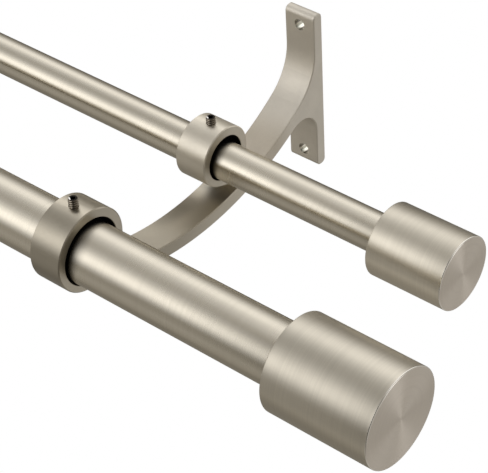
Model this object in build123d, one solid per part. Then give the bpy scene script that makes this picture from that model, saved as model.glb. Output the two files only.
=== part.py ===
from build123d import *
from math import cos, radians, sin, sqrt
import os

# Double curtain pole: a thick front rod and a thin back rod on two wall brackets.
# Sizes are in millimetres. X runs along the rods, Z is up, the wall is the plane Y = 0
# and the room is at -Y. The origin is the centre of the four wall screw holes.

# Rods
FRONT_ROD_DIAMETER = 25.4
BACK_ROD_DIAMETER = 16.0
FRONT_ROD_WALL = 1.2
BACK_ROD_WALL = 1.0
FRONT_ROD_LENGTH = 711.2            # between its two finials
FRONT_ROD_OVERHANG = 104.8          # middle of the bracket to the finial
BACK_ROD_OVERHANG = 88.1
FRONT_ROD_REACH = 140.4             # wall to rod axis
BACK_ROD_REACH = 63.0
FRONT_ROD_HEIGHT = 5.8              # rod axis above the middle of the plate
BACK_ROD_DROP = 4.5                 # below the front rod's axis

# Brackets, each cut from one profile
BRACKET_WIDTH = 15.0
BRACKET_BEVEL = 0.4
PLATE_HEIGHT = 76.2
PLATE_THICKNESS = 5.2
PLATE_CORNER_RADIUS = 2.4
HOLE_INSET = 6.35                   # plate's end to the hole's centre
HOLE_DIAMETER = 5.1
ARM_THICKNESS = 6.1
ARM_LOW_POINT = 0.569               # wall to the arm's lowest point, as a share of the front rod's reach
ARM_SAG = 19.1                      # its upper edge there, below the middle of the plate
ARM_END_DROP = 10.75                # front ring's centre to the middle of the arm's thickness
UPPER_FILLET_RADIUS = 24.0          # plate to arm
LOWER_FILLET_RADIUS = 10.0
RING_WALL = 3.7                     # mean; thicker above and thinner below by the rise
RING_RISE = 0.5                     # ring's outside above its bore, for more thread under the set screw
RING_FILLET_RADIUS = 3.0            # arm to front ring
WEB_SLOPE = 22.0                    # web under the back ring: its room side, degrees below level
WEB_LEAN = 32.0                     # its wall side, degrees from straight down
WEB_OFFSET = 4.0                    # ring's centre to the web's wall side
WEB_TOP_FILLET_RADIUS = 3.0         # web to ring
WEB_FOOT_FILLET_RADIUS = 1.3        # web to arm

# Set screws in the ring tops
RING_SCREW_SETBACK = 0.9            # from the rod's axis, towards the wall
RING_SCREW_DIAMETER = 4.0
RING_SCREW_LENGTH = 9.7
RING_SCREW_SOCKET = 2.0             # across the flats
RING_SCREW_SOCKET_DEPTH = 2.5
RING_SCREW_BEVEL = 0.4
RING_SCREW_CUP_DIAMETER = 2.4

# Finials
FRONT_FINIAL_DIAMETER = 39.4
FRONT_FINIAL_LENGTH = 45.9
BACK_FINIAL_DIAMETER = 30.3
BACK_FINIAL_LENGTH = 34.0
FINIAL_EDGE_RADIUS = 0.5
FINIAL_SEAT_DEPTH = 3.0             # recess that takes the rod's end

# Plugs and studs that hold the finials on
STUD_DIAMETER = 6.0
STUD_BEVEL = 0.6
STUD_IN_FINIAL = 12.0
STUD_HOLE_SPARE = 2.0               # the finial's hole is this much deeper than the stud goes
FRONT_STUD_IN_PLUG = 18.0
BACK_STUD_IN_PLUG = 13.0
FRONT_PLUG_LENGTH = 24.0
BACK_PLUG_LENGTH = 18.0
PLUG_BEVEL = 0.4                    # on the end that goes in first
PLUG_RIB_COUNT = 8
PLUG_RIB_WIDTH = 1.2
PLUG_RIB_HEIGHT = 0.6

# Clearances, on diameter except the rest gap
FRONT_BORE_CLEARANCE = 2.2
BACK_BORE_CLEARANCE = 3.0
THREAD_CLEARANCE = 0.1
SEAT_CLEARANCE = 0.3                # rod in the finial's recess
PRESS_CLEARANCE = 0.06              # plug's ribs in the rod
REST_GAP = 0.1                      # rod to the bottom of its bore and to the set screw's tip


class RodLine:
    """One rod: its axis, its ring, and what sits on its ends."""

    def __init__(self, name, diameter, wall, half_length, reach, height, bore_clearance,
                 finial_diameter, finial_length, plug_length, stud_in_plug):
        self.name = name
        self.radius = diameter / 2
        self.bore_of_tube = diameter / 2 - wall
        self.y = -reach
        self.z = height
        self.ring_bore = (diameter + bore_clearance) / 2
        self.ring_outer = self.ring_bore + RING_WALL
        self.bore_z = height + self.ring_bore - self.radius - REST_GAP
        self.ring_z = self.bore_z + RING_RISE
        self.screw_y = self.y + RING_SCREW_SETBACK
        self.finial_radius = finial_diameter / 2
        self.finial_length = finial_length
        self.plug_length = plug_length
        self.stud_in_plug = stud_in_plug
        self.tube_end = half_length + FINIAL_SEAT_DEPTH


bracket_x = FRONT_ROD_LENGTH / 2 - FRONT_ROD_OVERHANG
front = RodLine("front", FRONT_ROD_DIAMETER, FRONT_ROD_WALL, bracket_x + FRONT_ROD_OVERHANG,
                FRONT_ROD_REACH, FRONT_ROD_HEIGHT, FRONT_BORE_CLEARANCE, FRONT_FINIAL_DIAMETER,
                FRONT_FINIAL_LENGTH, FRONT_PLUG_LENGTH, FRONT_STUD_IN_PLUG)
back = RodLine("back", BACK_ROD_DIAMETER, BACK_ROD_WALL, bracket_x + BACK_ROD_OVERHANG,
               BACK_ROD_REACH, FRONT_ROD_HEIGHT - BACK_ROD_DROP, BACK_BORE_CLEARANCE, BACK_FINIAL_DIAMETER,
               BACK_FINIAL_LENGTH, BACK_PLUG_LENGTH, BACK_STUD_IN_PLUG)


def arm_circle():
    """Centre and radius of the arm's upper edge, an arc from its lowest point into the front ring.

    The bracket's profile is drawn in the YZ plane, so its points are (y, z) pairs.
    """
    low_y = ARM_LOW_POINT * front.y
    across = front.y - low_y
    rise = ARM_SAG + front.ring_z
    inset = ARM_THICKNESS / 2 - ARM_END_DROP
    radius = (across ** 2 + rise ** 2 - inset ** 2) / (2 * (rise + inset))
    return (low_y, radius - ARM_SAG), radius


arm_centre, arm_radius = arm_circle()
arm_lower_radius = arm_radius + ARM_THICKNESS


def point_on(centre, radius, towards):
    """Point of a circle on the line from its centre through another point."""
    dy, dz = towards[0] - centre[0], towards[1] - centre[1]
    scale = radius / sqrt(dy * dy + dz * dz)
    return (centre[0] + dy * scale, centre[1] + dz * scale)


def arc(centre, radius, start, end):
    """The shorter arc about a centre, from one point of the circle to another."""
    middle = ((start[0] + end[0]) / 2, (start[1] + end[1]) / 2)
    return ThreePointArc(start, point_on(centre, radius, middle), end)


def blend_centre(distance, radius):
    """Centre of an arc that touches the plate's front face, at a distance from the arm's centre."""
    y = -PLATE_THICKNESS - radius
    dy = y - arm_centre[0]
    return (y, arm_centre[1] - sqrt(distance * distance - dy * dy))


def arm_outline():
    """Curved arm of even thickness, blended into the plate, with its other end in the front ring."""
    above = blend_centre(arm_radius - UPPER_FILLET_RADIUS, UPPER_FILLET_RADIUS)
    below = blend_centre(arm_lower_radius + LOWER_FILLET_RADIUS, LOWER_FILLET_RADIUS)
    plate_top = (-PLATE_THICKNESS, above[1])
    plate_low = (-PLATE_THICKNESS, below[1])
    upper_start = point_on(arm_centre, arm_radius, above)
    lower_start = point_on(arm_centre, arm_lower_radius, below)
    upper_end = point_on(arm_centre, arm_radius, (front.y, front.ring_z))
    lower_end = point_on(arm_centre, arm_lower_radius, (front.y, front.ring_z))
    in_plate = -PLATE_THICKNESS / 2
    return make_face([
        arc(above, UPPER_FILLET_RADIUS, plate_top, upper_start),
        arc(arm_centre, arm_radius, upper_start, upper_end),
        Line(upper_end, lower_end),
        arc(arm_centre, arm_lower_radius, lower_end, lower_start),
        arc(below, LOWER_FILLET_RADIUS, lower_start, plate_low),
        Polyline(plate_low, (in_plate, plate_low[1]), (in_plate, plate_top[1]), plate_top),
    ])


def line_to_circle(start, direction, centre, radius):
    """Point where a line from inside a circle meets it."""
    dy, dz = start[0] - centre[0], start[1] - centre[1]
    along = dy * direction[0] + dz * direction[1]
    length = sqrt(along ** 2 - dy ** 2 - dz ** 2 + radius ** 2) - along
    return (start[0] + length * direction[0], start[1] + length * direction[1])


def web_sides():
    """The web's room side, which runs off the back ring at a tangent, and its wall side."""
    slope, lean = radians(WEB_SLOPE), radians(WEB_LEAN)
    tangent = (back.y - back.ring_outer * sin(slope), back.ring_z - back.ring_outer * cos(slope))
    beside_centre = (back.y + WEB_OFFSET * cos(lean), back.ring_z + WEB_OFFSET * sin(lean))
    wall_top = line_to_circle(beside_centre, (sin(lean), -cos(lean)), (back.y, back.ring_z), back.ring_outer)
    return (tangent, (cos(slope), -sin(slope))), (wall_top, (sin(lean), -cos(lean)))


def back_ring_outline():
    """Back ring, without its bore, on the web that carries it and ends inside the arm."""
    (room_top, room_way), (wall_top, wall_way) = web_sides()
    in_arm = arm_radius + ARM_THICKNESS / 2
    ring_top = (back.y, back.ring_z + back.ring_outer)
    return make_face([
        Polyline(room_top,
                 line_to_circle(room_top, room_way, arm_centre, in_arm),
                 line_to_circle(wall_top, wall_way, arm_centre, in_arm),
                 wall_top),
        ThreePointArc(wall_top, ring_top, room_top),
    ])


def corners_near(outline, points):
    """The corner of an outline nearest to each point."""
    return [min(outline.vertices(), key=lambda v: (v.X - y) ** 2 + (v.Y - z) ** 2) for y, z in points]


def corners_at(outline, centre, radius):
    """Corners of an outline that lie on a circle."""
    tolerance = 1e-3
    return [v for v in outline.vertices()
            if abs(sqrt((v.X - centre[0]) ** 2 + (v.Y - centre[1]) ** 2) - radius) < tolerance]


def bracket_profile():
    """Plate, arm, web and both rings in one outline, with both bores."""
    wall_top = web_sides()[1][0]
    web_foot = [line_to_circle(*side, arm_centre, arm_radius) for side in web_sides()]
    plate = Pos(-PLATE_THICKNESS / 2, 0) * Rectangle(PLATE_THICKNESS, PLATE_HEIGHT)
    plate = fillet(plate.vertices(), PLATE_CORNER_RADIUS)
    outline = plate + arm_outline() + back_ring_outline()
    outline += Pos(front.y, front.ring_z) * Circle(front.ring_outer)
    outline = fillet(corners_at(outline, (front.y, front.ring_z), front.ring_outer), RING_FILLET_RADIUS)
    outline = fillet(corners_near(outline, [wall_top]), WEB_TOP_FILLET_RADIUS)
    outline = fillet(corners_near(outline, web_foot), WEB_FOOT_FILLET_RADIUS)
    for rod in (front, back):
        outline -= Pos(rod.y, rod.bore_z) * Circle(rod.ring_bore)
    return outline


def bracket(side):
    """One bracket, with its wall holes and the threaded holes for its set screws."""
    solid = extrude(Plane.YZ * bracket_profile(), BRACKET_WIDTH / 2, both=True)
    cut_faces = solid.faces().filter_by(Axis.X).group_by(Axis.X)
    solid = chamfer(cut_faces[0].edges() + cut_faces[-1].edges(), BRACKET_BEVEL)
    for end in (-1, 1):
        hole = Cylinder(HOLE_DIAMETER / 2, 3 * PLATE_THICKNESS, rotation=(90, 0, 0))
        solid -= Pos(0, 0, end * (PLATE_HEIGHT / 2 - HOLE_INSET)) * hole
    for rod in (front, back):
        hole = Cylinder((RING_SCREW_DIAMETER + THREAD_CLEARANCE) / 2, 2 * rod.ring_outer,
                        align=(Align.CENTER, Align.CENTER, Align.MIN))
        solid -= Pos(0, rod.screw_y, rod.bore_z) * hole
    return Pos(side * bracket_x, 0, 0) * solid


def ring_screw(rod, side):
    """Headless set screw with a hexagon socket above and a cup below, resting on the rod."""
    low = Align.CENTER, Align.CENTER, Align.MIN
    screw = Cylinder(RING_SCREW_DIAMETER / 2, RING_SCREW_LENGTH, align=low)
    screw = chamfer(screw.edges(), RING_SCREW_BEVEL)
    top = Pos(0, 0, RING_SCREW_LENGTH)
    hexagon = RegularPolygon(RING_SCREW_SOCKET / 2, 6, major_radius=False)
    screw -= top * extrude(hexagon, -RING_SCREW_SOCKET_DEPTH)
    cup = RING_SCREW_CUP_DIAMETER / 2
    screw -= Cone(cup, 0, cup, align=low)
    return Pos(side * bracket_x, rod.screw_y, rod.z + rod.radius + REST_GAP) * screw


def along_x(rod):
    """The rod's axis as local Z, towards +X."""
    return Pos(0, rod.y, rod.z) * Rot(0, 90, 0)


def tube(rod):
    """Plain round tube."""
    length = 2 * rod.tube_end
    return along_x(rod) * (Cylinder(rod.radius, length) - Cylinder(rod.bore_of_tube, length))


def end_frame(rod, side):
    """Local Z along the rod, out of one end, from the end face of its tube."""
    return Pos(side * rod.tube_end, rod.y, rod.z) * Rot(0, 90 * side, 0)


def finial(rod, side):
    """Turned cylinder with a recess for the tube's end and a threaded hole for the stud."""
    low = Align.CENTER, Align.CENTER, Align.MIN
    body = Cylinder(rod.finial_radius, rod.finial_length, align=low)
    body = fillet(body.edges(), FINIAL_EDGE_RADIUS)
    body -= Cylinder(rod.radius + SEAT_CLEARANCE / 2, FINIAL_SEAT_DEPTH, align=low)
    body = Pos(0, 0, -FINIAL_SEAT_DEPTH) * body
    body -= Cylinder((STUD_DIAMETER + THREAD_CLEARANCE) / 2, STUD_IN_FINIAL + STUD_HOLE_SPARE, align=low)
    return end_frame(rod, side) * body


def stud(rod, side):
    """Threaded stud through the plug into the finial."""
    length = rod.stud_in_plug + STUD_IN_FINIAL
    pin = Cylinder(STUD_DIAMETER / 2, length)
    pin = chamfer(pin.edges(), STUD_BEVEL)
    return end_frame(rod, side) * Pos(0, 0, STUD_IN_FINIAL - length / 2) * pin


def rod_plug(rod, side):
    """Ribbed plug pressed into the tube, flush with its end, threaded for the stud."""
    high = Align.CENTER, Align.CENTER, Align.MAX
    outer = rod.bore_of_tube - PRESS_CLEARANCE / 2
    core = outer - PLUG_RIB_HEIGHT
    section = Circle(core)
    for k in range(PLUG_RIB_COUNT):
        rib = Rot(0, 0, 360 * k / PLUG_RIB_COUNT) * Pos(outer / 2, 0) * Rectangle(outer, PLUG_RIB_WIDTH)
        section += rib & Circle(outer)
    plug = extrude(section, -rod.plug_length)
    inner_end = plug.faces().sort_by(Axis.Z)[0]
    plug = chamfer(inner_end.edges(), PLUG_BEVEL)
    plug -= Cylinder((STUD_DIAMETER + THREAD_CLEARANCE) / 2, rod.plug_length, align=high)
    return end_frame(rod, side) * plug


def build():
    """All pieces, by node name."""
    nodes = {}
    for rod in (front, back):
        nodes[f"{rod.name}_rod"] = tube(rod)
    for hand, side in (("right", 1), ("left", -1)):
        nodes[f"{hand}_bracket"] = bracket(side)
        for rod in (front, back):
            nodes[f"{hand}_{rod.name}_ring_screw"] = ring_screw(rod, side)
            nodes[f"{rod.name}_{hand}_finial"] = finial(rod, side)
            nodes[f"{rod.name}_{hand}_finial_stud"] = stud(rod, side)
            nodes[f"{rod.name}_{hand}_rod_plug"] = rod_plug(rod, side)
    return nodes


os.makedirs("parts", exist_ok=True)
for node, shape in build().items():
    export_step(shape, f"parts/{node}.step")
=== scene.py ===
"""Double curtain pole on its two brackets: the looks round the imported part, in its own frame and in metres."""
import logging
import math
from contextlib import contextmanager
from dataclasses import dataclass
from enum import Enum
from typing import Callable, Iterator

import bmesh
import bpy
from bpy.types import Material, Node, NodeSocket as Socket, NodeTree, Object
from mathutils import Matrix, Vector


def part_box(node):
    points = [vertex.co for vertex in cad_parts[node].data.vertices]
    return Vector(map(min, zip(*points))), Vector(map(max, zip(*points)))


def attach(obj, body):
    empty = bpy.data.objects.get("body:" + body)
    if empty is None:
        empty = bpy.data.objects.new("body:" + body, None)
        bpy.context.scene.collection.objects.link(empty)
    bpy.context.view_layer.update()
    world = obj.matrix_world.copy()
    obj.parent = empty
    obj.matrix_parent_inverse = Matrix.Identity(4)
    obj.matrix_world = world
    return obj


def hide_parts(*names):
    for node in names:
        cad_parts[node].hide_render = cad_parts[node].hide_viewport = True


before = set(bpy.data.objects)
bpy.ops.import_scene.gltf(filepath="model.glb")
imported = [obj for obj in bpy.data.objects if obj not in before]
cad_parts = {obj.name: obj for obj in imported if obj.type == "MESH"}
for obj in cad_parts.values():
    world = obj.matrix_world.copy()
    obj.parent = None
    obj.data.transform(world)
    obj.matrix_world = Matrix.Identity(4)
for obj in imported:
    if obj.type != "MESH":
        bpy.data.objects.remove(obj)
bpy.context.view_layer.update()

log = logging.getLogger("curtain_pole")
MM = 0.001
CLOSE = 0.001 * MM
X, Z = 0, 2
FACING = 0.9  # how far a normal goes along an axis that its face faces
SEAT_CLEARANCE = 0.15 * MM
NICKEL = (0.600, 0.553, 0.456)
# painted light: the finials' end faces are a lighter copy of the nickel
END_NICKEL = (0.665, 0.605, 0.520)
# painted light and shade along the brackets: lighter near the wall and towards the rings, darker along the arm
WALL_NICKEL = (0.665, 0.620, 0.535)
RING_NICKEL = (0.610, 0.562, 0.466)
ARM_NICKEL = (0.564, 0.508, 0.415)
# painted shade: the front ring and the cut sides near it are darker
PAINTED_SHADE_NICKEL = (0.388, 0.351, 0.279)
# partly painted highlight: the finials' rounded edges are smoother, and lighter in colour
EDGE_NICKEL = (0.800, 0.760, 0.680)


class Side(Enum):
    """End of the pole, as its sign along X."""

    LEFT = -1
    RIGHT = 1

    @property
    def word(self) -> str:
        """Name of the side as the part's nodes spell it."""
        return self.name.lower()


class Line(Enum):
    """Which of the two rods a piece belongs to."""

    FRONT = "front"
    BACK = "back"


# Tools for modelling

def only(obj: Object) -> None:
    """Leaves one object selected and active."""
    bpy.ops.object.select_all(action="DESELECT")
    obj.select_set(True)
    bpy.context.view_layer.objects.active = obj


@contextmanager
def editing(obj: Object) -> Iterator[None]:
    """Edit mode with nothing selected, left again at the end."""
    only(obj)
    bpy.ops.object.mode_set(mode="EDIT")
    bpy.ops.mesh.select_mode(type="FACE")
    bpy.ops.mesh.select_all(action="DESELECT")
    try:
        yield
    finally:
        bpy.ops.object.mode_set(mode="OBJECT")


def pick_edges(obj: Object, axis: int, test: Callable[[float], bool]) -> None:
    """Selects the edges whose length along an axis passes a test, in edit mode."""
    pick(obj, "EDGE", lambda edge: test(abs(edge.verts[0].co[axis] - edge.verts[1].co[axis])))


def pick(obj: Object, mode: str, test: Callable[..., bool]) -> None:
    """Selects the faces or edges that pass a test, in edit mode.

    Args:
        obj: the mesh in edit mode.
        mode: FACE or EDGE.
        test: takes a face or an edge.
    """
    bpy.ops.mesh.select_mode(type=mode)
    bpy.ops.mesh.select_all(action="DESELECT")
    shape = bmesh.from_edit_mesh(obj.data)
    for part in shape.faces if mode == "FACE" else shape.edges:
        part.select_set(test(part))
    bmesh.update_edit_mesh(obj.data)


def bar_along_x(name: str, radius: float, low: Vector, high: Vector, sides: int) -> Object:
    """A round bar along X, with its place in its mesh.

    Args:
        name: the new object's name.
        radius: the bar's radius.
        low: centre of its end at the lower X.
        high: centre of its other end.
        sides: how many faces go round it.

    Returns:
        The new object, at the origin.
    """
    bpy.ops.object.select_all(action="DESELECT")
    middle = (low + high) / 2
    bpy.ops.mesh.primitive_cylinder_add(vertices=sides, radius=radius, depth=high.x - low.x,
                                        location=middle, rotation=(0, math.pi / 2, 0))
    obj = bpy.context.object
    obj.name = obj.data.name = name
    bpy.ops.object.transform_apply(location=True, rotation=True, scale=True)
    return obj


def finish_shading(obj: Object, degrees: float = 32.0) -> None:
    """Turns the faces outwards and shades them smooth, except over edges sharper than an angle.

    Args:
        obj: the finished mesh.
        degrees: the angle past which an edge stays sharp.
    """
    with editing(obj):
        bpy.ops.mesh.select_all(action="SELECT")
        bpy.ops.mesh.normals_make_consistent(inside=False)
        # That can take a thin tube's inside for its outside, and then the volume is negative.
        if bmesh.from_edit_mesh(obj.data).calc_volume(signed=True) < 0:
            bpy.ops.mesh.flip_normals()
    only(obj)
    bpy.ops.object.shade_smooth_by_angle(angle=math.radians(degrees))


# Tools for finishes

Value = Socket | float
Colour = tuple[float, float, float]


@dataclass(frozen=True)
class Step:
    """A smooth step from one value to another.

    Attributes:
        low: where it starts.
        high: where it ends.
        before: its value up to the start.
        after: its value from the end on.
    """

    low: float
    high: float
    before: float = 0.0
    after: float = 1.0


class Nodes:
    """A node tree with short ways to add and join nodes."""

    def __init__(self, tree: NodeTree) -> None:
        """Takes a tree and empties it."""
        self.tree = tree
        tree.nodes.clear()

    def add(self, kind: str, **settings: object) -> Node:
        """Adds a node of a kind, named without its ShaderNode start, with these properties."""
        node = self.tree.nodes.new(kind if kind.startswith("Node") else "ShaderNode" + kind)
        for key, value in settings.items():
            setattr(node, key, value)
        return node

    def join(self, start: Socket, end: Socket) -> None:
        """Joins an output to an input."""
        self.tree.links.new(start, end)

    def feed(self, node: Node, index: int | str, source: Value) -> None:
        """Sets a node's input to a number, or joins it to an output."""
        if isinstance(source, (int, float)):
            node.inputs[index].default_value = source
        else:
            self.join(source, node.inputs[index])

    def place(self) -> Socket:
        """Returns the place in the object's own coordinates."""
        return self.add("TexCoord").outputs["Object"]

    def split(self, vector: Socket) -> list[Socket]:
        """Returns the X, Y and Z of a vector."""
        node = self.add("SeparateXYZ")
        self.join(vector, node.inputs[0])
        return list(node.outputs)

    def math(self, operation: str, *values: Value) -> Socket:
        """Returns the output of a new Math node for these numbers and outputs."""
        node = self.add("Math", operation=operation)
        for index, value in enumerate(values):
            self.feed(node, index, value)
        return node.outputs[0]

    def product(self, first: Value, *others: Value) -> Value:
        """Returns the product of numbers and outputs."""
        for value in others:
            first = self.math("MULTIPLY", first, value)
        return first

    def gain(self, mask: Value, amount: Value) -> Socket:
        """Returns 1 where a mask is 0, and 1 with the amount added where it is 1."""
        return self.math("ADD", 1.0, self.math("MULTIPLY", mask, amount))

    def length(self, across: Socket, up: Socket) -> Socket:
        """Returns the length of a vector with these two parts."""
        return self.math("SQRT", self.math("ADD", self.product(across, across), self.product(up, up)))

    def dot(self, vector: Socket, direction: tuple[float, float, float]) -> Socket:
        """Returns how far a vector goes along a direction."""
        node = self.add("VectorMath", operation="DOT_PRODUCT")
        self.join(vector, node.inputs[0])
        node.inputs[1].default_value = direction
        return node.outputs["Value"]

    def spread(self, value: Socket, step: Step) -> Socket:
        """Returns the value of a smooth step at the given value."""
        node = self.add("MapRange", interpolation_type="SMOOTHSTEP")
        for index, number in enumerate((value, step.low, step.high, step.before, step.after)):
            self.feed(node, index, number)
        return node.outputs[0]

    def spread_noise(self, noise: Socket, low: float = 0.0, high: float = 1.0) -> Socket:
        """Returns a noise, most of which lies in the middle, spread between two values."""
        return self.spread(noise, Step(0.3, 0.7, low, high))

    def noise(self, place: Socket, scale: float, detail: float = 2.0, roughness: float = 0.5) -> Socket:
        """Returns the value of a noise with this many lumps in a metre, finer layers and their strength."""
        node = self.add("TexNoise")
        self.join(place, node.inputs["Vector"])
        self.feed(node, "Scale", scale)
        self.feed(node, "Detail", detail)
        self.feed(node, "Roughness", roughness)
        return node.outputs[0]

    def blend(self, mask: Socket, first: Socket, second: Socket) -> Socket:
        """Returns the first value where a mask is 0, and the second where it is 1."""
        node = self.add("Mix", data_type="FLOAT")
        for name, source in (("Factor", mask), ("A", first), ("B", second)):
            self.join(source, node.inputs[name])
        return node.outputs["Result"]

    def tint(self, mask: Socket, first: Colour | Socket, second: Colour) -> Socket:
        """Returns the first colour where a mask is 0, and the second where it is 1."""
        node = self.add("Mix", data_type="RGBA")
        self.join(mask, node.inputs["Factor"])
        if isinstance(first, tuple):
            node.inputs["A"].default_value = (*first, 1.0)
        else:
            self.join(first, node.inputs["A"])
        node.inputs["B"].default_value = (*second, 1.0)
        return node.outputs["Result"]

    def scaled(self, colour: Socket, share: Socket) -> Socket:
        """Returns a colour times a share."""
        node = self.add("VectorMath", operation="SCALE")
        self.join(colour, node.inputs[0])
        self.join(share, node.inputs["Scale"])
        return node.outputs[0]

    def bump(self, shader: Node, height: Socket, depth: float) -> None:
        """Joins a bump to a shader, from a relief and its height in metres."""
        node = self.add("Bump")
        node.inputs["Strength"].default_value = 1.0
        node.inputs["Distance"].default_value = depth
        self.join(height, node.inputs["Height"])
        self.join(node.outputs[0], shader.inputs["Normal"])


class TurnedLines:
    """Shader node group: the fine rings that turning leaves, round an axis along X and across its end faces."""

    NAME = "turned_lines"
    END_FACING = 0.8
    ROUND_SCALE = 25.0
    CLOUD_SCALE = 38.0
    COARSE_SHARE = 0.55

    @classmethod
    def group(cls) -> NodeTree:
        """Returns the group, made at its first use."""
        made = bpy.data.node_groups.get(cls.NAME)
        return made if made else cls.build()

    @classmethod
    def build(cls) -> NodeTree:
        """Makes the group.

        Returns:
            A node tree with the sockets Axis Y, Axis Z, Pitch, Lines and Cloud.
        """
        tree = bpy.data.node_groups.new(cls.NAME, "ShaderNodeTree")
        for name in ("Axis Y", "Axis Z", "Pitch"):
            tree.interface.new_socket(name, in_out="INPUT", socket_type="NodeSocketFloat")
        for name in ("Lines", "Cloud"):
            tree.interface.new_socket(name, in_out="OUTPUT", socket_type="NodeSocketFloat")
        net = Nodes(tree)
        given = net.add("NodeGroupInput")
        out = net.add("NodeGroupOutput")
        place = net.place()
        x, y, z = net.split(place)
        across = net.math("SUBTRACT", y, given.outputs["Axis Y"])
        up = net.math("SUBTRACT", z, given.outputs["Axis Z"])
        facing = net.split(net.add("NewGeometry").outputs["True Normal"])[0]
        on_end = net.math("GREATER_THAN", net.math("ABSOLUTE", facing), cls.END_FACING)
        along = net.blend(on_end, x, net.length(across, up))
        stretched = net.add("CombineXYZ")
        net.join(net.math("DIVIDE", along, given.outputs["Pitch"]), stretched.inputs[0])
        for index, source in ((1, across), (2, up)):
            net.join(net.product(source, cls.ROUND_SCALE), stretched.inputs[index])
        coarse = net.noise(stretched.outputs[0], 0.35, 3.0, 0.6)
        fine = net.noise(stretched.outputs[0], 1.0, 2.0, 0.6)
        both = net.math("ADD", net.product(coarse, cls.COARSE_SHARE), net.product(fine, 1.0 - cls.COARSE_SHARE))
        net.join(both, out.inputs["Lines"])
        net.join(net.noise(place, cls.CLOUD_SCALE, 3.0), out.inputs["Cloud"])
        return tree

    @classmethod
    def put(cls, net: Nodes, axis: tuple[float, float], pitch: float) -> Node:
        """Puts the group into a material and returns its node."""
        node = net.add("Group", node_tree=cls.group())
        for index, value in enumerate((*axis, pitch)):
            node.inputs[index].default_value = value
        return node


def empty_material(name: str) -> tuple[Material, Nodes]:
    """Returns a new material without nodes, and its nodes."""
    material = bpy.data.materials.new(name)
    material.use_nodes = True
    return material, Nodes(material.node_tree)


def new_material(name: str) -> tuple[Material, Nodes, Node]:
    """Returns a new material, its nodes and its shader, a Principled BSDF joined to its output."""
    material, net = empty_material(name)
    shader = net.add("BsdfPrincipled")
    net.join(shader.outputs[0], net.add("OutputMaterial").inputs[0])
    return material, net, shader


@dataclass(frozen=True)
class SatinNickel:
    """Satin nickel plate on turned work, with the grain of its turning round an axis along X.

    Attributes:
        name: the material's name.
        axis: Y and Z of the turning axis.
        colour: the plate's colour.
        roughness: its mean roughness.
        grain: how much smoother it is along the grain than across it.
        pitch: spacing of the turning lines.
        depth: height of the turning lines.
        contrast: how much the lines differ in colour.
        shade_from: distance along X past which a painted shade of the ring beside it darkens the work, or None.
        shade_length: how far that painted shade reaches at most.
        shade_gain: how much lighter a painted highlight makes the work on its upper front past the shade.
        room_share: share of the colour left by a painted shade on the side facing the room; a painted light makes the
            top lighter by as much.
        under_gain: how much lighter a painted light makes the underside.
    """

    name: str
    axis: tuple[float, float]
    colour: Colour = NICKEL
    roughness: float = 0.28
    grain: float = 0.65
    pitch: float = 0.0004
    depth: float = 0.0000006
    contrast: float = 0.025
    shade_from: float | None = None
    shade_length: float = 7.5 * MM
    shade_gain: float = 0.05
    room_share: float = 1.0
    under_gain: float = 0.0

    # painted shade of the rings on the rods, and a painted highlight past it
    UPPER_FRONT = (0.0, -0.70, 0.71)
    SHADE_ALL_ROUND = 0.3
    SHADE_FADE = Step(-0.15, 1.0, 0.10, 1.0)
    GAIN_FOCUS = 14.0
    RING_WIDTH = 14.0 * MM

    def material(self) -> Material:
        """Returns the finished material."""
        material, net, shader = new_material(self.name)
        turned = TurnedLines.put(net, self.axis, self.pitch)
        lines, cloud = turned.outputs["Lines"], turned.outputs["Cloud"]
        darker = tuple((1.0 - self.contrast) * channel for channel in self.colour)
        lighter = tuple(min(1.0, (1.0 + self.contrast) * channel) for channel in self.colour)
        plate = net.tint(net.spread_noise(lines), darker, lighter)
        # on the rods: painted shade beside the rings, and a painted highlight past it
        if self.shade_from is not None:
            plate = net.scaled(plate, self.shade(net))
        # on the finials' sides: painted shade facing the room, painted light on top and underneath
        elif self.under_gain > 0.0:
            plate = net.scaled(plate, self.sides(net))
        net.join(plate, shader.inputs["Base Color"])
        rough = net.math("ADD", net.spread_noise(cloud, -0.02, 0.02),
                         net.spread_noise(lines, self.roughness + 0.01, self.roughness - 0.01))
        net.join(rough, shader.inputs["Roughness"])
        for name, value in (("Metallic", 1.0), ("Anisotropic", self.grain), ("Anisotropic Rotation", 0.25)):
            shader.inputs[name].default_value = value
        net.join(net.add("Tangent", direction_type="RADIAL", axis="X").outputs[0], shader.inputs["Tangent"])
        net.bump(shader, lines, self.depth)
        return material

    def shade(self, net: Nodes) -> Socket:
        """Adds a painted shade of the ring beside the work, longest on its upper front, and a painted highlight past
        it.

        Args:
            net: the material's nodes.

        Returns:
            The share of the colour that is left.
        """
        x = net.split(net.place())[0]
        front = net.math("MAXIMUM", net.dot(net.add("NewGeometry").outputs["Normal"], self.UPPER_FRONT), 0.0)
        shortest = self.SHADE_ALL_ROUND * self.shade_length
        length = net.math("ADD", net.product(front, front, self.shade_length - shortest), shortest)
        past = net.math("SUBTRACT", net.math("ABSOLUTE", x), self.shade_from)
        share = net.product(net.spread(net.math("DIVIDE", past, length), self.SHADE_FADE),
                            net.gain(net.math("POWER", front, self.GAIN_FOCUS), self.shade_gain))
        return net.math("MAXIMUM", share, net.math("LESS_THAN", past, -self.RING_WIDTH))

    def sides(self, net: Nodes) -> Socket:
        """Returns the share of the colour from painted light and shade, by how much the work faces the room or down.
        """
        _, y, z = net.split(net.add("NewGeometry").outputs["Normal"])
        return net.product(net.spread(y, Step(-0.40, -0.05, self.room_share, 2.0 - self.room_share)),
                           net.spread(z, Step(0.0, 0.20, 1.0 + self.under_gain, 1.0)))


@dataclass(frozen=True)
class Bore:
    """A bracket's bore along X: its axis's Y and Z, and its radius."""

    y: float
    z: float
    radius: float


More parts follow.
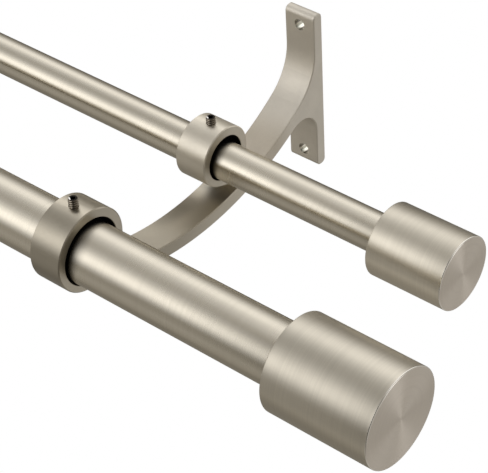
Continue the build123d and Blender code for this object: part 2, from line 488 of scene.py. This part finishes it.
class BracketPlace:
    """Where a place on a bracket lies, as outputs that the parts of its finish share.

    Attributes:
        net: the material's nodes.
        place: the place.
        x: its X, as are y and z for theirs.
        normal: the smooth normal.
        flat_y: the face's own normal's Y.
        cut: 1 on the two cut sides.
        around: 1 on all other faces.
        from_front: distance from the front bore's axis.
        from_back: distance from the back bore's axis.
        front_ring: 1 on the front ring.
        back_ring: 1 on the back ring.
        in_bores: 1 inside the bores.
    """

    FRONT_RING = Step(18.5 * MM, 22.0 * MM, 1.0, 0.0)
    BACK_RING = Step(13.6 * MM, 15.0 * MM, 1.0, 0.0)

    def __init__(self, net: Nodes, front: Bore, back: Bore) -> None:
        """Adds the outputs to a material's nodes.

        Args:
            net: the nodes.
            front: the front bore.
            back: the back bore.
        """
        self.net = net
        self.place = net.place()
        self.x, self.y, self.z = net.split(self.place)
        geometry = net.add("NewGeometry")
        self.normal = geometry.outputs["Normal"]
        flat_x, self.flat_y, _ = net.split(geometry.outputs["True Normal"])
        self.cut = net.math("GREATER_THAN", net.math("ABSOLUTE", flat_x), FACING)
        self.around = net.math("SUBTRACT", 1.0, self.cut)
        self.from_front, self.from_back = self.away(front), self.away(back)
        self.front_ring = net.spread(self.from_front, self.FRONT_RING)
        self.back_ring = net.spread(self.from_back, self.BACK_RING)
        self.in_bores = net.math("MAXIMUM", net.math("LESS_THAN", self.from_front, front.radius),
                                 net.math("LESS_THAN", self.from_back, back.radius))

    def away(self, bore: Bore) -> Socket:
        """Returns the distance from a bore's axis."""
        net = self.net
        return net.length(net.math("SUBTRACT", self.y, bore.y), net.math("SUBTRACT", self.z, bore.z))


@dataclass(frozen=True)
class BracketNickel:
    """Satin nickel plate on the brackets, with painted light and shade: darker on the front ring and the cut sides
    near it.

    Attributes:
        name: the material's name.
        front: the front bore, which is dull inside and darkened there by painted shade.
        back: the back bore, dull inside and darkened by painted shade too.
        roughness: the plate's mean roughness.
        hole_x: how far along X the wall holes are.
        hole_z: how far above and below the plate's middle they are.
        hole_reach: distance from a hole's axis within which its inner wall lies.
    """

    name: str
    front: Bore
    back: Bore
    roughness: float = 0.38
    hole_x: float = 250.8 * MM
    hole_z: float = 31.75 * MM
    hole_reach: float = 2.65 * MM

    SPECK_SCALE = 1400.0
    CLOUD_SCALE = 60.0
    CLOUDS = Step(0.0, 1.0, 0.96, 1.03)
    PLATE_FROM = -12.0 * MM
    PLATE_GAIN = 0.05
    FRONT_TOP = Step(-0.32, 0.08, -0.05, 0.36)
    BACK_TOP = Step(-0.14, 0.08, 0.0, 0.28)
    GAP_FROM = 13.4 * MM
    GAP_REACH = Step(14.0 * MM, 19.0 * MM, 1.0, 0.0)
    GAP_HEIGHT = Step(-6.0 * MM, 0.0, 1.0, 0.0)
    GAP_DARK = -0.86
    # painted shade inside the bores
    BORE_DARK = -0.95
    # painted shade on the cut sides towards the front, less on the front ring
    CUT_SIDE_SHADE = Step(-115.0 * MM, -35.0 * MM, 1.0, 0.0)
    WORN_CUT_ON_RING = -0.42
    # where the painted light near the wall and towards the rings sets in
    WALL_PART = Step(-34.0 * MM, -18.0 * MM)
    RING_PART = Step(-60.0 * MM, -46.0 * MM, 1.0, 0.0)
    UNDER_RING_FROM = 16.5 * MM
    UNDER_RING_HEIGHT = -12.0 * MM
    INNER_HALF = Step(246.0 * MM, 252.5 * MM, 1.0, 0.0)
    UNDER_RING_BANDS = ((0.62, Step(-73.0 * MM, -67.5 * MM), Step(-66.5 * MM, -62.0 * MM, 1.0, 0.0)),
                        (-0.28, Step(-98.5 * MM, -83.0 * MM), Step(-79.0 * MM, -72.0 * MM, 1.0, 0.0)))
    ALONG_HOLE = 0.5
    STREAK_TOWARDS = (0.62, 0.0, 0.78)
    STREAK = Step(0.80, 0.94, 0.45, 1.6)
    NEAR_WALL = Step(-62.0 * MM, -34.0 * MM)
    BUMP_DEPTH = 0.000002

    def material(self) -> Material:
        """Returns the finished material."""
        material, net, shader = new_material(self.name)
        at = BracketPlace(net, self.front, self.back)
        specks = net.noise(at.place, self.SPECK_SCALE)
        in_hole = self.in_hole(at)
        net.join(net.scaled(self.plating(at), self.light(at, in_hole)), shader.inputs["Base Color"])
        rough = net.spread_noise(specks, self.roughness - 0.02, self.roughness + 0.03)
        near_wall = net.product(at.around, net.spread(at.y, self.NEAR_WALL))
        for mask, amount in ((at.in_bores, 0.3), (at.back_ring, 0.02), (at.front_ring, -0.08), (near_wall, 0.16),
                             (in_hole, -0.30)):
            rough = net.math("ADD", rough, net.product(mask, amount))
        net.join(rough, shader.inputs["Roughness"])
        shader.inputs["Metallic"].default_value = 1.0
        net.bump(shader, specks, self.BUMP_DEPTH)
        return material

    def plating(self, at: BracketPlace) -> Socket:
        """Adds the plate's colour, with painted light and shade by the distance from the wall and on the front ring
        and cut sides.

        Args:
            at: the place on the bracket.

        Returns:
            The colour.
        """
        net = at.net
        # painted shade: darker on the front ring and on the cut sides towards the front
        cut_side_shade = net.product(at.cut, net.spread(at.y, self.CUT_SIDE_SHADE), net.gain(at.front_ring, self.WORN_CUT_ON_RING))
        painted_shade = net.math("MAXIMUM", cut_side_shade, net.product(at.front_ring, at.around))
        # painted light and shade by the distance from the wall
        metal = net.tint(net.spread(at.y, self.WALL_PART), ARM_NICKEL, WALL_NICKEL)
        metal = net.tint(net.spread(at.y, self.RING_PART), metal, RING_NICKEL)
        return net.tint(painted_shade, metal, PAINTED_SHADE_NICKEL)

    def light(self, at: BracketPlace, in_hole: Socket) -> Socket:
        """Adds the share of the colour: random clouds, and painted light and shade on the plate, rings, holes, bores
        and narrow places.

        Args:
            at: the place on the bracket.
            in_hole: 1 on the wall holes' inner walls.

        Returns:
            The share.
        """
        net = at.net
        cloud = net.spread(net.spread_noise(net.noise(at.place, self.CLOUD_SCALE, 4.0, 0.6)), self.CLOUDS)
        # painted light: the plate's front face is lighter
        on_plate = net.product(net.math("LESS_THAN", at.flat_y, -FACING),
                               net.math("GREATER_THAN", at.y, self.PLATE_FROM))
        # painted shade: the arm is darker next to the back ring's underside
        gap = net.product(net.math("GREATER_THAN", at.from_back, self.GAP_FROM), at.around,
                          net.spread(at.from_back, self.GAP_REACH), net.spread(at.z, self.GAP_HEIGHT))
        # painted light: the rings are lighter on their side towards the wall, the front ring a little darker towards
        # the room
        smooth_y = net.split(at.normal)[1]
        tops = (net.gain(net.product(ring, at.around), net.spread(smooth_y, top))
                for ring, top in ((at.front_ring, self.FRONT_TOP), (at.back_ring, self.BACK_TOP)))
        # painted highlight and shade on the wall holes' inner walls: a light streak, darker round it
        streak = net.math("SUBTRACT", net.spread(net.dot(at.normal, self.STREAK_TOWARDS), self.STREAK), 1.0)
        # painted shade darkens the bores inside
        return net.product(cloud, net.gain(on_plate, self.PLATE_GAIN), net.gain(gap, self.GAP_DARK), *tops,
                           self.under_ring(at), net.gain(in_hole, streak), net.gain(at.in_bores, self.BORE_DARK))

    def under_ring(self, at: BracketPlace) -> Socket:
        """Adds a painted light on the arm's inner half under the back ring, and a painted shade in front of it.

        Args:
            at: the place on the bracket.

        Returns:
            The share of the colour.
        """
        net = at.net
        inner = net.product(at.around, net.math("GREATER_THAN", at.from_back, self.UNDER_RING_FROM),
                            net.math("LESS_THAN", at.z, self.UNDER_RING_HEIGHT),
                            net.spread(net.math("ABSOLUTE", at.x), self.INNER_HALF))
        share = 1.0
        for amount, rise, fall in self.UNDER_RING_BANDS:
            band = net.product(net.spread(at.y, rise), net.spread(at.y, fall), inner, amount)
            share = net.math("ADD", band, share)
        return share

    def in_hole(self, at: BracketPlace) -> Socket:
        """Returns 1 on the wall holes' inner walls."""
        net = at.net
        along, up = (net.math("SUBTRACT", net.math("ABSOLUTE", part), middle)
                     for part, middle in ((at.x, self.hole_x), (at.z, self.hole_z)))
        return net.product(net.math("LESS_THAN", net.length(along, up), self.hole_reach),
                           net.math("LESS_THAN", net.math("ABSOLUTE", at.flat_y), self.ALONG_HOLE))


@dataclass(frozen=True)
class PlainFinish:
    """A plain metal or plastic with soft clouds and specks.

    Attributes:
        name: the material's name.
        colour: its colour.
        second: the colour of its clouds.
        roughness: its mean roughness.
        metallic: 1 for a metal, 0 for a plastic.
        scale: clouds in a metre.
    """

    name: str
    colour: Colour
    second: Colour
    roughness: float
    metallic: float = 1.0
    scale: float = 250.0

    def material(self) -> Material:
        """Returns the finished material."""
        material, net, shader = new_material(self.name)
        place = net.place()
        cloud = net.spread_noise(net.noise(place, self.scale, 4.0, 0.6))
        net.join(net.tint(cloud, self.colour, self.second), shader.inputs["Base Color"])
        specks = net.noise(place, 4 * self.scale)
        net.join(net.spread_noise(specks, self.roughness - 0.05, self.roughness + 0.05), shader.inputs["Roughness"])
        shader.inputs["Metallic"].default_value = self.metallic
        return material


# Pieces

class Turned:
    """A piece turned round an axis along X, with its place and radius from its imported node."""

    def measure(self) -> None:
        """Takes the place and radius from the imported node."""
        low, high = (Vector(corner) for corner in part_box(self.node))
        self.radius = (high.z - low.z) / 2
        self.y, self.z = (low.y + high.y) / 2, (low.z + high.z) / 2
        self.low_x, self.high_x = low.x, high.x

    def bar(self, name: str) -> Object:
        """Returns a plain bar of the piece's size, under a name."""
        return bar_along_x(name, self.radius, Vector((self.low_x, self.y, self.z)),
                           Vector((self.high_x, self.y, self.z)), self.sides)


@dataclass
class Rod(Turned):
    """A plain tube along X.

    Attributes:
        line: which rod it is.
        wall: thickness of the tube.
        drop: how far it lies below its rings' axis.
        bore_radius: radius of its rings' bores.
        shade_length: how far the rings' painted shade reaches on it.
        shade_gain: how much lighter a painted highlight makes it past that shade.
        sides: faces round it.
        end_bevel: bevel on the edges of its cut ends.
    """

    line: Line
    wall: float
    drop: float
    bore_radius: float
    shade_length: float
    shade_gain: float
    sides: int = 144
    end_bevel: float = 0.3 * MM

    def __post_init__(self) -> None:
        """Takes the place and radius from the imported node."""
        self.node = f"{self.line.value}_rod"
        self.measure()

    def build(self) -> Object:
        """Returns the tube: a bar, its ends inset to the wall and bridged through."""
        obj = self.bar(f"{self.node}_tube")
        with editing(obj):
            pick(obj, "FACE", lambda face: abs(face.normal.x) > FACING)
            bpy.ops.mesh.inset(thickness=self.wall)
            bpy.ops.mesh.delete(type="FACE")
            inner = self.radius - self.wall + 10 * CLOSE
            pick(obj, "EDGE", lambda edge: all(self.away(vert.co) < inner for vert in edge.verts))
            bpy.ops.mesh.bridge_edge_loops()
            pick_edges(obj, X, lambda length: length < CLOSE)
            bpy.ops.mesh.bevel(offset=self.end_bevel, segments=2, affect="EDGES")
        finish_shading(obj)
        return obj

    def away(self, point: Vector) -> float:
        """Returns a point's distance from the rod's axis."""
        return math.hypot(point.y - self.y, point.z - self.z)

    def dress(self, obj: Object) -> None:
        """Gives the tube its finish and its place in the frame.

        Args:
            obj: the tube.
        """
        ring_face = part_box("right_bracket")[1][0]
        # the finish darkens the tube beside the rings with a painted shade and lightens its upper front past it with a
        # painted highlight
        finish = SatinNickel(f"nickel_{self.line.value}_rod", (self.y, self.z), shade_from=ring_face,
                             shade_length=self.shade_length, shade_gain=self.shade_gain)
        obj.data.materials.append(finish.material())
        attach(obj, "root")
        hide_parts(self.node)


@dataclass(frozen=True)
class FinialLook:
    """What differs between the sides of the front finials and the back ones: roughness, and painted light and shade.

    Attributes:
        tone: share of the nickel's colour, lower on the front finials as a painted shade.
        roughness: its mean roughness.
        room_share: share of the colour left by a painted shade on the side facing the room.
        under_gain: how much lighter a painted light makes the underside.
    """

    tone: float
    roughness: float
    room_share: float
    under_gain: float


# painted light and shade: the front finials are darker, darker still facing the room and lighter on top; all are
# lighter underneath
FINIAL_LOOKS = {Line.FRONT: FinialLook(0.92, 0.37, 0.92, 0.16), Line.BACK: FinialLook(1.0, 0.39, 1.0, 0.26)}


@dataclass
class Finial(Turned):
    """A turned cylinder on a rod's end.

    Attributes:
        line: which rod it ends.
        side: which end.
        seat_radius: the recess that takes the rod.
        seat_depth: how deep the recess is.
        hole_radius: the stud's hole.
        hole_depth: how deep that is, from the recess.
        edge_radius: rounding of its edges.
        sides: faces round it.
    """

    line: Line
    side: Side
    seat_radius: float
    seat_depth: float = 3.0 * MM
    hole_radius: float = 3.05 * MM
    hole_depth: float = 14.0 * MM
    edge_radius: float = 0.5 * MM
    sides: int = 192

    AROUND, END, EDGE = range(3)
    FLAT_END = 0.99
    END_FACING = 0.97
    EDGE_FACING = 0.15

    def __post_init__(self) -> None:
        """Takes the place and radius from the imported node."""
        self.node = f"{self.line.value}_{self.side.word}_finial"
        self.measure()

    def build(self) -> Object:
        """Returns the finial: a bar with rounded edges, a recess and the stud's hole in its inner end."""
        obj = self.bar(f"{self.node}_turned")
        inner = -self.side.value
        with editing(obj):
            pick_edges(obj, X, lambda length: length < CLOSE)
            bpy.ops.mesh.bevel(offset=self.edge_radius, segments=4, affect="EDGES")
            pick(obj, "FACE", lambda face: face.normal.x * inner > self.FLAT_END)
            flat = self.radius - self.edge_radius
            bpy.ops.mesh.inset(thickness=flat - self.seat_radius)
            self.sink(self.seat_depth)
            bpy.ops.mesh.inset(thickness=self.seat_radius - self.hole_radius)
            self.sink(self.hole_depth)
        finish_shading(obj)
        return obj

    def sink(self, depth: float) -> None:
        """Extrudes the selected face into the finial, as deep as given."""
        bpy.ops.mesh.extrude_region_move(
            TRANSFORM_OT_translate={"value": (self.side.value * depth, 0, 0), "orient_type": "GLOBAL"})

    def dress(self, obj: Object) -> None:
        """Gives the finial its three finishes, with painted light on its end faces and a painted highlight on its
        edges, and its place in the frame.

        Args:
            obj: the finial.
        """
        axis, look = (self.y, self.z), FINIAL_LOOKS[self.line]
        name = f"nickel_{self.line.value}_{self.side.word}_finial"
        colour = tuple(look.tone * channel for channel in NICKEL)
        side = SatinNickel(f"{name}_side", axis, colour, look.roughness, grain=0.45, contrast=0.045,
                           room_share=look.room_share, under_gain=look.under_gain)
        # painted light: the end faces are lighter than the sides
        end = SatinNickel(f"{name}_end", axis, END_NICKEL, roughness=0.42, grain=0.85)
        # the edges are smoother, and lighter in colour as a painted highlight
        edge = SatinNickel(f"{name}_edge", axis, EDGE_NICKEL, roughness=0.15, grain=0.2)
        for finish in (side, end, edge):
            obj.data.materials.append(finish.material())
        for face in obj.data.polygons:
            outwards = face.normal.x * self.side.value
            face.material_index = (self.END if outwards > self.END_FACING else
                                   self.EDGE if outwards > self.EDGE_FACING else self.AROUND)
        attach(obj, "root")
        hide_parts(self.node)


@dataclass
class RingScrew:
    """A headless set screw with a cut thread and a hexagon socket.

    Attributes:
        line: which rod it holds.
        side: which bracket it is in.
        pitch: the thread's pitch.
        thread_depth: crest to root.
        socket: across the socket's flats.
        socket_depth: how deep the socket is.
        bevel: bevel of its two ends.
        steps: faces in a turn.
    """

    line: Line
    side: Side
    pitch: float = 1.0 * MM
    thread_depth: float = 0.45 * MM
    socket: float = 1.95 * MM
    socket_depth: float = 2.5 * MM
    bevel: float = 0.3 * MM
    steps: int = 48

    CREST = 0.12
    FLANK = 0.76
    CUTS_IN_A_PITCH = 10
    MOST_CUTS = 99
    STEEL, OIL, HOLLOW, RIM = range(4)
    MOUTH = 0.2 * MM
    MOUTH_SCALE = 1.08
    OVER_TOP = 0.05 * MM
    NEAR_SOCKET = 0.6
    CLEAR = 0.1 * MM
    SHARP_DEGREES = 25.0

    def __post_init__(self) -> None:
        """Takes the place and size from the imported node."""
        self.node = f"{self.side.word}_{self.line.value}_ring_screw"
        low, high = (Vector(corner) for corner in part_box(self.node))
        self.radius = (high.x - low.x) / 2
        self.foot = Vector(((low.x + high.x) / 2, (low.y + high.y) / 2, low.z))
        self.length = high.z - low.z

    def outline(self, point: Vector) -> float:
        """Gives the thread's radius at a place, less towards the bevelled ends.

        Args:
            point: a place on the bar, from the middle of its foot.

        Returns:
            The distance from the axis.
        """
        phase = (point.z / self.pitch - math.atan2(point.y, point.x) / (2 * math.pi)) % 1.0
        cut = min(1.0, max(0.0, (abs(2 * phase - 1) - self.CREST) / self.FLANK))
        bevel = max(0.0, self.bevel - min(point.z, self.length - point.z))
        return self.radius - max(cut * self.thread_depth, bevel)

    def thread(self) -> Object:
        """Returns the closed bar with its thread drawn in between bevelled ends."""
        bpy.ops.object.select_all(action="DESELECT")
        bpy.ops.mesh.primitive_cylinder_add(vertices=self.steps, radius=self.radius, depth=self.length,
                                            location=(0, 0, self.length / 2))
        obj = bpy.context.object
        bpy.ops.object.transform_apply(location=True)
        with editing(obj):
            pick_edges(obj, Z, lambda length: length > 0.5 * self.length)
            cuts = round(self.CUTS_IN_A_PITCH * self.length / self.pitch)
            bpy.ops.mesh.subdivide(number_cuts=min(self.MOST_CUTS, cuts))
            shape = bmesh.from_edit_mesh(obj.data)
            for vert in shape.verts:
                vert.co.xy = vert.co.xy.normalized() * self.outline(vert.co)
            bmesh.update_edit_mesh(obj.data)
        return obj

    def key_hole(self) -> Object:
        """Returns the hexagon that is cut out of the top, with a coned mouth."""
        bpy.ops.object.select_all(action="DESELECT")
        corner = self.socket / math.sqrt(3)
        middle = self.length - self.socket_depth / 2 + self.OVER_TOP
        bpy.ops.mesh.primitive_cylinder_add(vertices=6, radius=corner, depth=self.socket_depth,
                                            location=(0, 0, middle))
        obj = bpy.context.object
        bpy.ops.object.transform_apply(location=True)
        with editing(obj):
            pick(obj, "FACE", lambda face: face.normal.z > FACING)
            bpy.ops.mesh.extrude_region_move(TRANSFORM_OT_translate={"value": (0, 0, self.MOUTH)})
            bpy.ops.transform.resize(value=(self.MOUTH_SCALE, self.MOUTH_SCALE, 1.0))
        return obj

    def build(self) -> Object:
        """Returns the screw: the threaded bar with its socket cut."""
        obj = self.thread()
        tool = self.key_hole()
        only(obj)
        cut = obj.modifiers.new("socket", "BOOLEAN")
        cut.operation, cut.object, cut.solver = "DIFFERENCE", tool, "EXACT"
        bpy.ops.object.modifier_apply(modifier=cut.name)
        bpy.data.objects.remove(tool)
        obj.name = obj.data.name = f"{self.node}_threaded"
        obj.location = self.foot
        bpy.ops.object.transform_apply(location=True)
        finish_shading(obj, self.SHARP_DEGREES)
        return obj

    def dress(self, obj: Object) -> None:
        """Gives the screw its finishes, with painted shade in the thread's root and the socket and a painted highlight
        on its top rim, and its place in the frame.

        Args:
            obj: the screw.
        """
        for finish in (SCREW_STEEL, SCREW_OIL, SCREW_SOCKET, SCREW_RIM):
            obj.data.materials.append(finish)
        top = self.foot.z + self.length
        for face in obj.data.polygons:
            away = math.hypot(face.center.x - self.foot.x, face.center.y - self.foot.y)
            in_socket = away < self.NEAR_SOCKET * self.socket and face.center.z > top - self.socket_depth - self.CLEAR
            in_root = away < self.radius - self.thread_depth / 2
            on_rim = face.normal.z > FACING and face.center.z > top - self.OVER_TOP
            # painted shade in the socket and the thread's root, painted highlight on the top rim
            face.material_index = (self.HOLLOW if in_socket else self.RIM if on_rim else
                                   self.OIL if in_root else self.STEEL)
        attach(obj, "root")
        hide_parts(self.node)


@dataclass
class Bracket:
    """A bracket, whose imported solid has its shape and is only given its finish.

    Attributes:
        side: which bracket it is.
        front: its front bore.
        back: its back bore.
    """

    side: Side
    front: Bore
    back: Bore

    def dress(self) -> Object:
        """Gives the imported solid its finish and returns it."""
        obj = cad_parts[f"{self.side.word}_bracket"]
        obj.data.materials.clear()
        finish = BracketNickel(f"nickel_{self.side.word}_bracket", self.front, self.back)
        obj.data.materials.append(finish.material())
        return obj


@dataclass
class EndFixing:
    """The plug and stud inside a rod's end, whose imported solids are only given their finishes.

    Attributes:
        line: which rod it is in.
        side: which end.
    """

    line: Line
    side: Side

    def dress(self) -> list[Object]:
        """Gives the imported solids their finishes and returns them."""
        dressed = []
        for word, finish in (("rod_plug", NYLON), ("finial_stud", STUD_STEEL)):
            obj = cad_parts[f"{self.line.value}_{self.side.word}_{word}"]
            obj.data.materials.clear()
            obj.data.materials.append(finish)
            dressed.append(obj)
        return dressed


# Studio

@dataclass(frozen=True)
class Tone:
    """A stretch of the light tent.

    Attributes:
        angle: degrees round the X axis, from the wall's side upwards.
        left: its brightness towards the left end, where 1 shows a colour as it is written.
        beside: its brightness beside the right bracket and finials.
        right: its brightness towards the right end.
    """

    angle: float
    left: float
    beside: float
    right: float


@dataclass
class Studio:
    """Floor, light tent, world and camera.

    Attributes:
        floor_height: the floor's level.
        floor_size: its length and width.
        tent_radius: the tent's radius round the X axis.
        tent_half_length: its half length.
        tent_axis: Y and Z of its axis.
        tent_sides: faces round it.
        changes: where along X each stretch goes over into the next.
        end_light: brightness of its ends.
        end_panel: brightness of the soft panel on its right end.
        panel_height: where that panel's lower edge fades in, by Z.
        panel_depth: where its edge towards the room fades in, from the axis.
        cloth: the brightness over which the cloth's colour changes.
        shade_tint: colour of its darkest cloth.
        light_tint: colour of its brightest cloth.
        world_grey: the world's colour where it isn't seen.
        tones: the tent's brightness round its axis.
    """

    floor_height: float = -1.75
    floor_size: float = 24.0
    tent_radius: float = 1.60
    tent_half_length: float = 2.4
    tent_axis: tuple[float, float] = (-0.06, 0.0)
    tent_sides: int = 96
    changes: tuple[Step, ...] = (Step(0.12, 0.34), Step(0.86, 1.10))
    end_light: float = 0.55
    end_panel: float = 1.35
    panel_height: Step = Step(-0.70, -0.20)
    panel_depth: Step = Step(0.0, 0.8)
    cloth: Step = Step(0.25, 0.75)
    shade_tint: Colour = (1.06, 1.00, 0.90)
    light_tint: Colour = (1.0, 1.0, 1.02)
    world_grey: Colour = (0.8, 0.8, 0.8)
    tones: tuple[Tone, ...] = (
        Tone(0, 0.20, 0.50, 0.45), Tone(10, 0.28, 0.85, 0.40), Tone(20, 0.40, 1.10, 0.36),
        Tone(30, 0.70, 1.20, 0.35), Tone(40, 1.08, 1.20, 0.35), Tone(50, 1.43, 1.20, 0.35),
        Tone(62, 1.40, 1.20, 0.35), Tone(74, 0.98, 1.20, 0.35), Tone(88, 0.68, 1.10, 0.34),
        Tone(102, 0.55, 0.70, 0.30), Tone(114, 0.64, 0.25, 0.22), Tone(126, 0.95, 0.05, 0.20),
        Tone(138, 1.48, 0.05, 0.20), Tone(148, 1.90, 0.05, 0.20), Tone(158, 1.86, 0.05, 0.20),
        Tone(167, 1.31, 0.05, 0.20), Tone(176, 0.70, 0.05, 0.20), Tone(186, 0.39, 0.05, 0.20),
        Tone(198, 0.42, 0.12, 0.20), Tone(210, 0.48, 0.22, 0.20), Tone(225, 0.41, 0.32, 0.20),
        Tone(245, 0.25, 0.38, 0.25), Tone(265, 0.24, 0.45, 0.50), Tone(285, 0.24, 0.52, 0.55),
        Tone(305, 0.16, 0.52, 0.52), Tone(325, 0.11, 0.52, 0.52), Tone(345, 0.11, 0.52, 0.50))

    def floor(self) -> Object:
        """Returns a plain white floor, white to the camera and in reflections."""
        bpy.ops.object.select_all(action="DESELECT")
        bpy.ops.mesh.primitive_plane_add(size=self.floor_size, location=(0, 0, self.floor_height))
        obj = bpy.context.object
        obj.name = "floor"
        material, net = empty_material("floor_white")
        self.white_where_seen(net, net.add("BsdfDiffuse").outputs[0], "OutputMaterial")
        obj.data.materials.append(material)
        return obj

    def white_where_seen(self, net: Nodes, other: Socket, output: str) -> None:
        """Makes a material or the world white to camera, glossy and transmission rays.

        Args:
            net: its nodes.
            other: the shader for all other rays.
            output: the type of its output node.
        """
        path = net.add("LightPath")
        seen = path.outputs["Is Camera Ray"]
        for word in ("Is Glossy Ray", "Is Transmission Ray"):
            seen = net.math("MAXIMUM", seen, path.outputs[word])
        white = net.add("Background" if output == "OutputWorld" else "Emission")
        white.inputs["Color"].default_value = (1, 1, 1, 1)
        mix = net.add("MixShader")
        net.join(seen, mix.inputs[0])
        net.join(other, mix.inputs[1])
        net.join(white.outputs[0], mix.inputs[2])
        net.join(mix.outputs[0], net.add(output).inputs[0])

    def tent(self) -> Object:
        """Returns the light tent, a tube of soft panels round the X axis that the camera looks through."""
        y, z = self.tent_axis
        obj = bar_along_x("light_tent", self.tent_radius, Vector((-self.tent_half_length, y, z)),
                          Vector((self.tent_half_length, y, z)), self.tent_sides)
        material, net = empty_material("tent_panels")
        at_x, at_y, at_z = net.split(net.place())
        across, up = net.math("SUBTRACT", at_y, y), net.math("SUBTRACT", at_z, z)
        turn = net.math("DIVIDE", net.math("ARCTAN2", up, across), 2 * math.pi)
        turn = net.math("FRACT", net.math("ADD", turn, 1.0))
        panels = self.ramp(net, turn, "left")
        for change, stretch in zip(self.changes, ("beside", "right")):
            panels = net.blend(net.spread(at_x, change), panels, self.ramp(net, turn, stretch))
        at_end = net.math("GREATER_THAN", net.math("ABSOLUTE", at_x), self.tent_half_length - 10 * MM)
        on_panel = net.product(net.spread(at_z, self.panel_height), net.spread(across, self.panel_depth),
                               net.math("GREATER_THAN", at_x, 0.0))
        end_wall = net.math("ADD", net.product(on_panel, self.end_panel - self.end_light), self.end_light)
        light = net.blend(at_end, panels, end_wall)
        glow = net.add("Emission")
        net.join(light, glow.inputs["Strength"])
        net.join(net.tint(net.spread(light, self.cloth), self.shade_tint, self.light_tint), glow.inputs["Color"])
        net.join(glow.outputs[0], net.add("OutputMaterial").inputs[0])
        obj.data.materials.append(material)
        obj.visible_camera = False
        return obj

    def ramp(self, net: Nodes, turn: Socket, stretch: str) -> Socket:
        """Adds the tones of one stretch along X as a colour ramp round the axis, whose two ends meet.

        Args:
            net: the tent's nodes.
            turn: the place round the axis, as a fraction of a turn.
            stretch: left, beside or right.

        Returns:
            The brightness.
        """
        node = net.add("ValToRGB")
        net.join(turn, node.inputs[0])
        ramp = node.color_ramp
        ramp.interpolation = "EASE"
        ramp.elements.remove(ramp.elements[-1])
        tones = [(tone.angle / 360.0, getattr(tone, stretch)) for tone in self.tones]
        most = max(light for place, light in tones)
        for place, light in (*tones, (1.0, tones[0][1])):
            element = ramp.elements[0] if place == 0.0 else ramp.elements.new(place)
            element.color = (*(light / most,) * 3, 1.0)
        return net.math("MULTIPLY", node.outputs[0], most)

    def world(self) -> None:
        """Sets a plain world, white where it is seen."""
        world = bpy.data.worlds.new("studio")
        bpy.context.scene.world = world
        world.use_nodes = True
        net = Nodes(world.node_tree)
        plain = net.add("Background")
        plain.inputs["Color"].default_value = (*self.world_grey, 1.0)
        self.white_where_seen(net, plain.outputs[0], "OutputWorld")

    def camera(self) -> None:
        """Sets the camera at the photograph's place, turn and angle of view."""
        data = bpy.data.cameras.new("camera")
        data.sensor_width = 36.0
        data.lens = CAMERA_LENS
        data.clip_end = 50.0
        obj = bpy.data.objects.new("camera", data)
        bpy.context.collection.objects.link(obj)
        obj.matrix_world = CAMERA_MATRIX
        bpy.context.scene.camera = obj

    def build(self) -> None:
        """Sets up the studio."""
        self.floor()
        self.tent()
        self.world()
        self.camera()
        bpy.context.scene.view_settings.view_transform = "Standard"


CAMERA_LENS = 143.044
CAMERA_MATRIX = Matrix(((0.7666846, -0.3842168, 0.5143658, 0.6728361),
                        (0.6402521, 0.5170333, -0.5681143, -0.5129639),
                        (-0.0476652, 0.7648882, 0.6423971, 0.4741557),
                        (0.0, 0.0, 0.0, 1.0)))

# the screws' finishes: painted shade in the thread's root and socket, painted highlight on the top rim
SCREW_STEEL = PlainFinish("screw_steel", (0.34, 0.30, 0.24), (0.20, 0.17, 0.13), 0.22, scale=900.0).material()
SCREW_RIM = PlainFinish("screw_rim", (0.78, 0.75, 0.70), (0.66, 0.63, 0.57), 0.18, scale=900.0).material()
SCREW_OIL = PlainFinish("screw_root_shade", (0.05, 0.04, 0.03), (0.12, 0.10, 0.07), 0.35, scale=1500.0).material()
SCREW_SOCKET = PlainFinish("screw_socket", (0.012, 0.010, 0.008), (0.03, 0.025, 0.02), 0.5, scale=1500.0).material()
STUD_STEEL = PlainFinish("stud_steel", (0.50, 0.50, 0.49), (0.58, 0.57, 0.52), 0.35).material()
NYLON = PlainFinish("plug_nylon", (0.80, 0.79, 0.75), (0.74, 0.73, 0.69), 0.5, metallic=0.0).material()


def main() -> None:
    """Builds and dresses every piece, reports each, and sets up the studio."""
    logging.basicConfig(level=logging.INFO, format="%(name)s: %(message)s")
    for name in ("Cube", "Light", "Camera"):
        spare = bpy.data.objects.get(name)
        if spare:
            bpy.data.objects.remove(spare)
    rods = [Rod(Line.FRONT, 1.2 * MM, drop=1.0 * MM, bore_radius=14.0 * MM, shade_length=7.5 * MM, shade_gain=0.05),
            Rod(Line.BACK, 1.0 * MM, drop=1.4 * MM, bore_radius=9.7 * MM, shade_length=4.6 * MM, shade_gain=0.25)]
    bores = [Bore(rod.y, rod.z + rod.drop, rod.bore_radius) for rod in rods]
    pieces: list[Rod | Finial | RingScrew] = list(rods)
    for side in Side:
        for rod in rods:
            pieces.append(Finial(rod.line, side, seat_radius=rod.radius + SEAT_CLEARANCE))
            pieces.append(RingScrew(rod.line, side))
            for inner in EndFixing(rod.line, side).dress():
                log.info("%s dressed", inner.name)
        log.info("%s dressed", Bracket(side, *bores).dress().name)
    for piece in pieces:
        obj = piece.build()
        piece.dress(obj)
        log.info("%s: %d faces", obj.name, len(obj.data.polygons))
    Studio().build()


if __name__ == "__main__":
    main()
